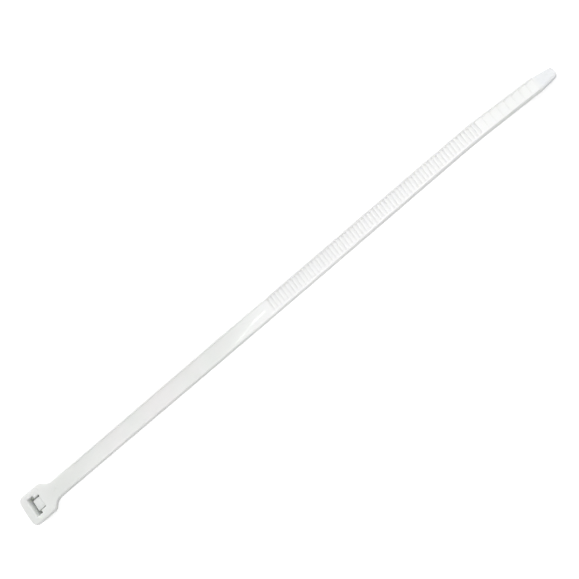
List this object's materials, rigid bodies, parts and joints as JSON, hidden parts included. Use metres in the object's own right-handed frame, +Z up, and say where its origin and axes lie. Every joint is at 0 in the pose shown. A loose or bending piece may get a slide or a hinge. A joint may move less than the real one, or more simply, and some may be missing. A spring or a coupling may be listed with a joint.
{
  "type": "cable tie",
  "caption": "Moulded nylon cable tie: ribbed strap with a rounded tip and a slotted head whose pawl locks on the strap's teeth.",
  "frame": {"origin": "on the surface the tie lies on, under the middle of its length and width", "axes": "+X along the strap from the head to the tip, +Z up out of the toothed face, +Y across the strap"},
  "size_m": [0.163, 0.0082, 0.0056],
  "materials": {
    "natural_nylon": "unpigmented moulded nylon, milky white and slightly translucent, satin to glossy"
  },
  "bodies": {
    "root": {"cable_tie": "natural_nylon"}
  },
  "joints": []
}
